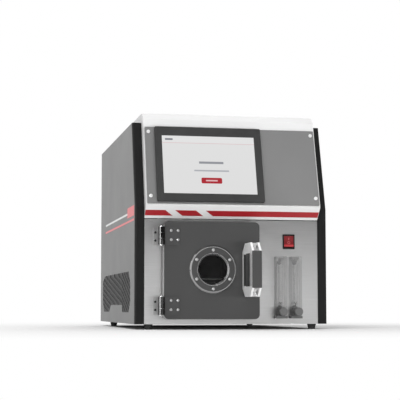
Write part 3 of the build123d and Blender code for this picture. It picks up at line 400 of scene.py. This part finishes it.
def tray_metal():
    """Tray: dark anodised, with a painted highlight along its front edge."""
    made = Finish("tray_anodised")
    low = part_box("tray")[0]
    front = made.ramp(made.y, low.y + 1.4 * MM, low.y + 0.6 * MM)
    foot = made.ramp(made.z, low.z + 3.2 * MM, low.z + 2.2 * MM)
    cloud = made.noise(12, detail=3)
    base = made.blotches(cloud, grey(40), grey(48))
    # Painted highlight: the front edge of the tray made bright
    base = made.mix(front * foot, base, grey(240))
    return made.surface(Base_Color=base, Roughness=made.gloss(cloud, 0.6, 0.7), Specular_IOR_Level=0.1)


def clamp_paint():
    """Clamp: the door's paint, with a polished bevel round its rim."""
    made = Finish("clamp_dark")
    bevel_width = 3.6 * MM
    low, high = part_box("window_clamp")
    reach = reach_of(made.x - (low.x + high.x) / 2, made.z - (low.z + high.z) / 2)
    edge = (high.x - low.x) / 2 - bevel_width
    bevel = made.ramp(reach, edge, edge + 0.1 * MM)
    peel = made.noise(0.4, detail=3)
    return made.surface(Base_Color=made.mix(bevel, grey(70), grey(168)), Metallic=bevel,
                        Roughness=0.45 - bevel * 0.33, Specular_IOR_Level=0.2,
                        Normal=made.bump(peel, 0.02, 0.1))


def anodised_dark():
    """Hard-anodised aluminium, nearly black inside the chamber."""
    made = Finish("hard_anodised")
    cloud = made.noise(30, detail=3)
    mark = made.noise(0.8)
    return made.surface(Base_Color=made.blotches(cloud, grey(44), grey(52)), Metallic=0.2,
                        Roughness=made.gloss(cloud, 0.5, 0.6), Normal=made.bump(mark, 0.02, 0.3))


def printed_red():
    """Red film, painted a lighter red on the two covers as a painted sheen of the film seen at a grazing
    angle.
    """
    made = Finish("red_film")
    covers_start = 200 * MM
    ink = made.noise(1.0)
    cloud = made.noise(30)
    base = made.blotches(cloud, linear(158, 24, 32), linear(166, 32, 40), start=0.3)
    # Painted sheen: the film on the covers made a lighter red
    base = made.mix(abs(made.x) > covers_start, base, linear(226, 62, 72))
    return made.surface(Base_Color=base, Roughness=0.32, Normal=made.bump(ink, 0.02, 0.2))


def foam_mat():
    """Open foam behind the slots."""
    made = Finish("filter_foam")
    pore = made.cells(2.2)
    dust = made.noise(25, detail=3)
    base = made.blotches(pore, grey(40), grey(74), start=0.1)
    base = made.blotches(dust, base, grey(86), amount=0.3, start=0.45, end=0.8)
    return made.surface(Base_Color=base, Roughness=0.95, Normal=made.bump(pore, 0.8, 0.8))


def display():
    """Lit screen: a pale page with a title strip, a thin rule, grey entry bars and a red key."""
    made = Finish("display_page")
    low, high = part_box("screen_glass")
    across = made.ramp(made.x, low.x, high.x)
    down = made.ramp(made.z, high.z, low.z)
    width = (high.x - low.x) / MM
    height = (high.z - low.z) / cos(CONSOLE_LEAN) / MM
    page = made.mix(down, grey(231), grey(229))
    # Middle across and down as shares of the page, width, height and corner in mm, colour
    for middle_across, middle_down, wide, tall, corner, colour in (
        (0.5, 0.058, 196.6, 15.0, 0.1, grey(236)),
        (0.5, 0.123, 196.6, 1.1, 0.1, linear(220, 150, 158)),
        (0.075, 0.062, 16.5, 4.0, 0.8, linear(120, 122, 130)),
        (0.52, 0.46, 52.0, 5.2, 0.8, linear(150, 152, 158)),
        (0.52, 0.60, 74.0, 3.6, 0.8, linear(178, 180, 186)),
        (0.515, 0.77, 44.0, 13.0, 3.0, linear(176, 40, 50)),
        (0.515, 0.77, 25.0, 3.2, 0.8, linear(232, 190, 194)),
    ):
        side = abs(across - middle_across) * width - (wide / 2 - corner)
        rise = abs(down - middle_down) * height - (tall / 2 - corner)
        reach = reach_of(side.most(0), rise.most(0))
        page = made.mix(made.ramp(reach, corner - 0.3, corner + 0.1, 1, 0), page, colour)
    smudge = made.noise(18, detail=4)
    return made.surface(Base_Color=grey(20), Roughness=made.gloss(smudge, 0.12, 0.24, start=0.4, end=0.8),
                        Emission_Color=page, Emission_Strength=0.92)


def red_rocker_with_highlight():
    """Red rocker cap: a bar and a ring for ON and OFF, and a painted highlight on the lip below, where the
    tilted cap catches the light.
    """
    made = Finish("rocker_red")
    bar_rise, bar_half = 5.6 * MM, 2.6 * MM
    ring_drop, ring_radius = 2.4 * MM, 2.4 * MM
    stroke = 0.6 * MM
    fade = 0.2 * MM
    lip_height = 5.2 * MM
    low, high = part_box("rocker")
    across = made.x - (low.x + high.x) / 2
    rise = made.z - (low.z + high.z) / 2
    bar = made.ramp(abs(across), stroke + fade, stroke) * made.ramp(
        abs(rise - bar_rise), bar_half, bar_half - fade)
    reach = reach_of(across, rise + ring_drop)
    ring = made.ramp(abs(reach - ring_radius), stroke, stroke - fade)
    lip = made.ramp(made.z, low.z + lip_height, low.z + lip_height - 3 * fade)
    cloud = made.noise(6)
    base = made.blotches(cloud, linear(112, 26, 30), linear(124, 32, 36), start=0.3)
    base = made.mix(bar.most(ring) * 0.55, base, linear(214, 128, 130))
    # Painted highlight: the lip below made a brighter red
    base = made.mix(lip * 0.7, base, linear(200, 70, 74))
    return made.surface(Base_Color=base, Roughness=0.4, Specular_IOR_Level=0.3,
                        Normal=made.bump(cloud, 0.05, 0.1))


def nylon():
    """Milky nylon tube."""
    made = Finish("nylon_tube")
    base = made.mix(made.noise(5), linear(214, 222, 230), linear(198, 208, 218))
    return made.surface(Base_Color=base, Roughness=0.28, Transmission_Weight=0.35, IOR=1.5)


def glazed():
    """Fired alumina, a little uneven in colour."""
    made = Finish("alumina")
    base = made.mix(made.noise(8, detail=3), linear(240, 236, 224), linear(226, 221, 208))
    return made.surface(Base_Color=base, Roughness=0.35)


# A finish for each of the record's materials, and below it for each piece that has its own
FINISHES = {
    "black_frame": moulded("frame_black", grey(28), roughness=0.55, shine=0.15),
    "grey_cover": cover_paint(),
    "white_hood": powder_coat("hood_white", grey(226), grey(221)),
    "brushed_panel": brushed_sheet("panel_brushed", grey(214), metallic=0.95),
    "zinc_sheet": brushed_sheet("zinc_sheet", grey(176), along=(8, 8, 4), roughness=0.42),
    "red_film": printed_red(),
    "tinted_acrylic": tinted_panel(),
    "bezel": moulded("bezel_dark", grey(58), shine=0.15),
    "screen": display(),
    "door_dark": powder_coat("door_dark", grey(70), grey(75), grain=0.4, shine=0.2),
    "machined": turned_metal("machined_aluminium", grey(205), roughness=0.28),
    "polished": turned_metal("polished_steel", grey(205), roughness=0.14),
    "dark_screw": turned_metal("black_oxide", grey(58), roughness=0.35),
    "glass": window_pane(),
    "rubber": soft_rubber("foot_rubber", grey(34)),
    "seal": soft_rubber("seal_rubber", grey(30)),
    "filter": foam_mat(),
    "switch_black": moulded("switch_black", grey(26), roughness=0.35),
    "rocker_red": red_rocker_with_highlight(),
    "clear_acrylic": meter_block(),
    "meter_dark": moulded("meter_dark", grey(96), roughness=0.45),
    "float_steel": turned_metal("float_steel", grey(190), roughness=0.2),
    "nylon_tube": nylon(),
    "ceramic": glazed(),
    "stainless": turned_metal("stainless", grey(200), roughness=0.24),
    "module": brushed_sheet("module_case", grey(160), along=(10, 3, 3), roughness=0.4),
    "coil": moulded("coil_black", grey(30), roughness=0.45),
    "fan_black": moulded("fan_black", grey(32)),
    "guard": turned_metal("guard_chrome", grey(215), roughness=0.12),
}

inner_anodising = anodised_dark()

PIECE_FINISHES = {
    "handle_cheeks": cheek_metal(),
    "handle_spacers": turned_metal("spacer_steel", grey(205), roughness=0.4, metallic=0.4),
    "door_screws": turned_metal("screw_steel", grey(205), roughness=0.3, metallic=0.7),
    "panel_screws": turned_metal("screw_bright", grey(246), roughness=0.3, metallic=0.3),
    "window_ring": turned_metal("ring_steel", grey(205), roughness=0.2),
    "gas_fittings": turned_metal("nickel_plate", grey(150), roughness=0.32, metallic=0.6),
    "window_clamp": clamp_paint(),
    "tray": tray_metal(),
    "hinge_brackets": hinge_bracket_metal(),
    "hinge_leaves": hinge_leaf_metal(),
    "chamber": inner_anodising,
    "upper_electrode": inner_anodising,
}

for row in frame["record"]["subparts"]:
    name = row["node"]
    coats = frame["nodes"][name].data.materials
    coats.clear()
    coats.append(PIECE_FINISHES[name] if name in PIECE_FINISHES else FINISHES[row["material_slot"]])


class Growth(Nodes):
    """A geometry tree with named sizes."""

    def __init__(self, name, **sizes):
        super().__init__(bpy.data.node_groups.new(name, "GeometryNodeTree"))
        self.name = name
        self.sizes = sizes
        self.keys = {}
        face = self.tree.interface
        face.new_socket("Geometry", in_out="OUTPUT", socket_type="NodeSocketGeometry")
        for label, size in sizes.items():
            kind = "NodeSocketInt" if isinstance(size, int) else "NodeSocketFloat"
            self.keys[label] = face.new_socket(label, in_out="INPUT", socket_type=kind).identifier
        self.start = self.tree.nodes.new("NodeGroupInput")

    def size(self, label):
        """A named size, as a value."""
        return Value(self, self.start.outputs[label])

    def vector(self, x=0.0, y=0.0, z=0.0):
        """Three values as one place or size."""
        return self.node("ShaderNodeCombineXYZ", values={0: x, 1: y, 2: z})

    def copies(self, points, piece, **sockets):
        """A piece set on each point."""
        return self.node("GeometryNodeInstanceOnPoints", values={
            "Points": points, "Instance": piece, **sockets})

    def piece(self, geometry, finish):
        """The tree's result as a plain mesh object."""
        real = self.node("GeometryNodeRealizeInstances", values={0: geometry})
        dressed = self.node("GeometryNodeSetMaterial", values={"Geometry": real, "Material": finish})
        self.node("NodeGroupOutput", values={0: dressed})
        carrier = bpy.data.objects.new(self.name, bpy.data.meshes.new(self.name + "_seed"))
        bpy.context.collection.objects.link(carrier)
        grow = carrier.modifiers.new("grow", "NODES")
        grow.node_group = self.tree
        for label, size in self.sizes.items():
            grow[self.keys[label]] = size
        graph = bpy.context.evaluated_depsgraph_get()
        mesh = bpy.data.meshes.new_from_object(carrier.evaluated_get(graph))
        carrier.modifiers.remove(grow)
        carrier.data = mesh
        return carrier


def middle(node):
    """Middle of a node's box."""
    low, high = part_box(node)
    return (low + high) / 2


def solid_boxes(name, corners, finish):
    """Boxes between pairs of corners, as one piece of the cabinet."""
    mesh = bpy.data.meshes.new(name)
    points = []
    faces = []
    for low, high in corners:
        first = len(points)
        points += [(x, y, z) for x in (low[0], high[0]) for y in (low[1], high[1]) for z in (low[2], high[2])]
        for face in ((0, 1, 3, 2), (4, 6, 7, 5), (0, 4, 5, 1), (2, 3, 7, 6), (0, 2, 6, 4), (1, 5, 7, 3)):
            faces.append([first + corner for corner in face])
    mesh.from_pydata(points, [], faces)
    mesh.materials.append(finish)
    made = bpy.data.objects.new(name, mesh)
    bpy.context.collection.objects.link(made)
    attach(made, "cabinet")


def side_lines():
    """Pale line above the red one on each cover."""
    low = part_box("side_cover_left")[0]
    film = 0.2 * MM
    start = low.y + 107 * MM
    end = start + 385 * MM
    foot = low.z + 231 * MM
    head = foot + 4.6 * MM
    reach = abs(low.x)
    left = ((-reach - film, start, foot), (-reach, end, head))
    right = ((reach, start, foot), (reach + film, end, head))
    pale_film = powder_coat("pale_film", grey(226), grey(220), roughness=0.35, grain=1.2)
    solid_boxes("side_lines", (left, right), pale_film)


def meter_scales():
    """Marks up the front of both flow meters, every fifth one longer."""
    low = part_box("flow_meters")[0]
    first_mark = (low.x + 4.6 * MM, low.y + 0.1 * MM, low.z + 34 * MM)
    tree = Growth("meter_scales", Marks=36, Pitch=2.2 * MM, Wide=3.2 * MM, Thick=0.32 * MM, Longer=0.9,
                  Meters=2, Spacing=METER_PITCH)
    row = tree.node("GeometryNodeMeshLine", values={
        "Count": tree.size("Marks"), "Start Location": (0, 0, 0),
        "Offset": tree.vector(z=tree.size("Pitch"))})
    mark = tree.node("GeometryNodeMeshCube", values={
        "Size": tree.vector(tree.size("Wide"), tree.size("Thick"), tree.size("Thick"))})
    fifth = tree.node("GeometryNodeInputIndex").math("MODULO", 5) < 0.5
    stretch = fifth * tree.size("Longer") + 1
    marks = tree.copies(row, mark, Scale=tree.vector(stretch, 1.0, 1.0))
    pair = tree.node("GeometryNodeMeshLine", values={
        "Count": tree.size("Meters"), "Start Location": first_mark,
        "Offset": tree.vector(x=tree.size("Spacing"))})
    made = tree.piece(tree.copies(pair, marks), FINISHES["meter_dark"])
    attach(made, "cabinet")


def fan_blades():
    """Rotor with swept, twisted blades round its hub."""
    axle = middle("fan_rotor")
    tree = Growth("fan_blades", Blades=7, Hub=18.5 * MM, Tip=53.0 * MM, Chord=24.0 * MM, Depth=17.0 * MM,
                  Sheet=1.4 * MM, Pitch=0.95, Untwist=0.42, Sweep=9.0 * MM, Camber=14.0, Flatten=0.68)
    hub = tree.size("Hub")
    span = tree.size("Tip") - hub
    grid = tree.node("GeometryNodeMeshGrid", values={
        "Size X": span, "Size Y": tree.size("Chord"), "Vertices X": 9, "Vertices Y": 9})
    split = tree.node("ShaderNodeSeparateXYZ", values={0: tree.node("GeometryNodeInputPosition")})
    along, across = (Value(tree, socket) for socket in split.socket.node.outputs[:2])
    share = along / span + 0.5
    twist = tree.size("Pitch") - share * tree.size("Untwist")
    sweep = share * share * tree.size("Sweep")
    camber = across * across * tree.size("Camber")
    reach = along + (hub + tree.size("Tip")) / 2
    rise = (across * twist.math("SINE") - camber) * tree.size("Flatten")
    side = across * twist.math("COSINE") + sweep
    bent = tree.node("GeometryNodeSetPosition", values={
        "Geometry": grid, "Position": tree.vector(reach, rise, side)})
    front = tree.node("GeometryNodeExtrudeMesh", {"mode": "FACES"}, {
        "Mesh": bent, "Offset Scale": tree.size("Sheet"), "Individual": False})
    back = tree.node("GeometryNodeFlipFaces", values={0: bent})
    closed = tree.node("GeometryNodeJoinGeometry", values={0: [front, back]})
    blade = tree.node("GeometryNodeMergeByDistance", values={0: closed, "Distance": 0.01 * MM})
    spots = tree.node("GeometryNodePoints", values={"Count": tree.size("Blades"), "Position": (0, 0, 0)})
    turn = tree.node("GeometryNodeInputIndex") * (tau / tree.size("Blades"))
    blades = tree.copies(spots, blade, Rotation=tree.node(
        "FunctionNodeEulerToRotation", values={0: tree.vector(y=turn)}))
    drum = tree.node("GeometryNodeMeshCylinder", values={
        "Vertices": 48, "Radius": hub, "Depth": tree.size("Depth")})
    drum = tree.node("GeometryNodeTransform", values={"Geometry": drum, "Rotation": (tau / 4, 0, 0)})
    whole = tree.node("GeometryNodeJoinGeometry", values={0: [blades, drum]})
    half_depth = tree.sizes["Depth"] / 2
    placed = tree.node("GeometryNodeTransform", values={
        "Geometry": whole, "Translation": (axle.x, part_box("fan_rotor")[0].y + half_depth, axle.z)})
    made = tree.piece(placed, FINISHES["fan_black"])
    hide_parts("fan_rotor")
    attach(made, "fan_rotor")


def inlet_pins():
    """Bright skin on the three blades of the mains inlet."""
    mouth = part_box("mains_inlet")[1].y
    centre = middle("mains_inlet")
    skin = 0.06 * MM
    half_wide = 1 * MM + skin
    half_tall = 2 * MM + skin
    corners = []
    for across, rise in ((-7, -1), (7, -1), (0, 3)):
        x = centre.x + across * MM
        z = centre.z + rise * MM
        start = (x - half_wide, mouth - 12 * MM, z - half_tall)
        end = (x + half_wide, mouth - 1.9 * MM, z + half_tall)
        corners.append((start, end))
    solid_boxes("inlet_pins", corners, FINISHES["stainless"])


def paper_floor():
    """Pale paper that takes the shadow near the machine and fades to white."""
    ground = Finish("floor")
    fade = ground.ramp(reach_of(ground.x, ground.y), 0.5, 1.1) * ground.ray("Is Camera Ray")
    paper = ground.node("ShaderNodeBsdfDiffuse", values={"Color": (0.86, 0.86, 0.86, 1)})
    white = ground.node("ShaderNodeEmission", values={"Color": WHITE, "Strength": 1.0})
    ground.close(ground.node("ShaderNodeMixShader", values={0: fade, 1: paper, 2: white}))
    bpy.ops.mesh.primitive_plane_add(size=60, location=(0, 0, -0.2 * MM))
    floor = bpy.context.active_object
    floor.name = "floor"
    floor.data.materials.append(ground.material)


def backdrop():
    """World that the camera, glass and metal see white, and that lights the machine softly."""
    world = bpy.data.worlds.new("studio")
    bpy.context.scene.world = world
    world.use_nodes = True
    sky = Nodes(world.node_tree)
    seen = sky.ray("Is Camera Ray").most(sky.ray("Is Transmission Ray"), sky.ray("Is Glossy Ray"))
    soft = sky.node("ShaderNodeBackground", values={"Color": WHITE, "Strength": 0.4})
    plain = sky.node("ShaderNodeBackground", values={"Color": WHITE, "Strength": 1.0})
    blend = sky.node("ShaderNodeMixShader", values={0: seen, 1: soft, 2: plain})
    sky.node("ShaderNodeOutputWorld", values={"Surface": blend})


def lamps():
    """Soft rectangles that face the machine."""
    target = Vector((0, 0, 0.2))
    # Name, place, width and height, watts, seen in reflections, lights matt surfaces
    for name, place, size, watts, glossy, diffuse in (
        ("key", (-0.7, -1.3, 2.8), (1.6, 1.6), 34, True, True),
        ("top", (0.2, 0.2, 2.8), (2.0, 2.0), 18, True, True),
        ("side", (-1.7, 0.9, 1.3), (1.0, 1.0), 8.5, True, True),
        ("rear", (0.8, 2.4, 1.8), (1.8, 1.8), 16, True, True),
        ("low", (0.3, -1.7, 0.06), (1.6, 0.1), 12, False, True),
        ("strip", (-1.9, -1.35, 0.35), (0.36, 1.0), 30, True, False),
    ):
        light = bpy.data.lights.new(name, "AREA")
        light.shape = "RECTANGLE"
        light.size, light.size_y = size
        light.energy = watts
        lamp = bpy.data.objects.new(name, light)
        lamp.location = place
        lamp.rotation_euler = (target - Vector(place)).to_track_quat("-Z", "Y").to_euler()
        lamp.visible_glossy = glossy
        lamp.visible_diffuse = diffuse
        bpy.context.collection.objects.link(lamp)


def reflection_cards():
    """Grey cards that only reflections show, to keep glossy faces from mirroring the white world."""
    upright = tau / 4
    for name, place, size, turn, glow in (
        ("card_front", (0.0, -1.1, 0.78), (2.6, 1.1), (upright, 0, 0), 0.1),
        ("card_right", (1.4, -0.6, 0.7), (2.4, 1.4), (upright, 0, upright), 0.2),
        ("card_top", (0.0, -0.4, 1.5), (2.6, 2.6), (0, 0, 0), 0.2),
    ):
        tone = Finish(name)
        tone.close(tone.node("ShaderNodeEmission", values={"Color": WHITE, "Strength": glow}))
        bpy.ops.mesh.primitive_plane_add(size=1, location=place, rotation=turn)
        card = bpy.context.active_object
        card.name = name
        card.scale = (*size, 1)
        card.data.materials.append(tone.material)
        card.visible_camera = False
        card.visible_shadow = False
        card.visible_diffuse = False
        card.visible_transmission = False


def photo_camera():
    """The photograph's camera."""
    camera = bpy.data.cameras.new("camera")
    camera.lens = CAMERA_LENS
    camera.sensor_width = CAMERA_SENSOR
    holder = bpy.data.objects.new("camera", camera)
    holder.location = CAMERA_PLACE
    level = cos(CAMERA_PITCH)
    look = Vector((sin(CAMERA_YAW) * level, cos(CAMERA_YAW) * level, sin(CAMERA_PITCH)))
    holder.rotation_euler = look.to_track_quat("-Z", "Y").to_euler()
    bpy.context.collection.objects.link(holder)
    bpy.context.scene.camera = holder
    bpy.context.scene.view_settings.view_transform = "Standard"


side_lines()
meter_scales()
fan_blades()
inlet_pins()

paper_floor()
backdrop()
lamps()
reflection_cards()
photo_camera()
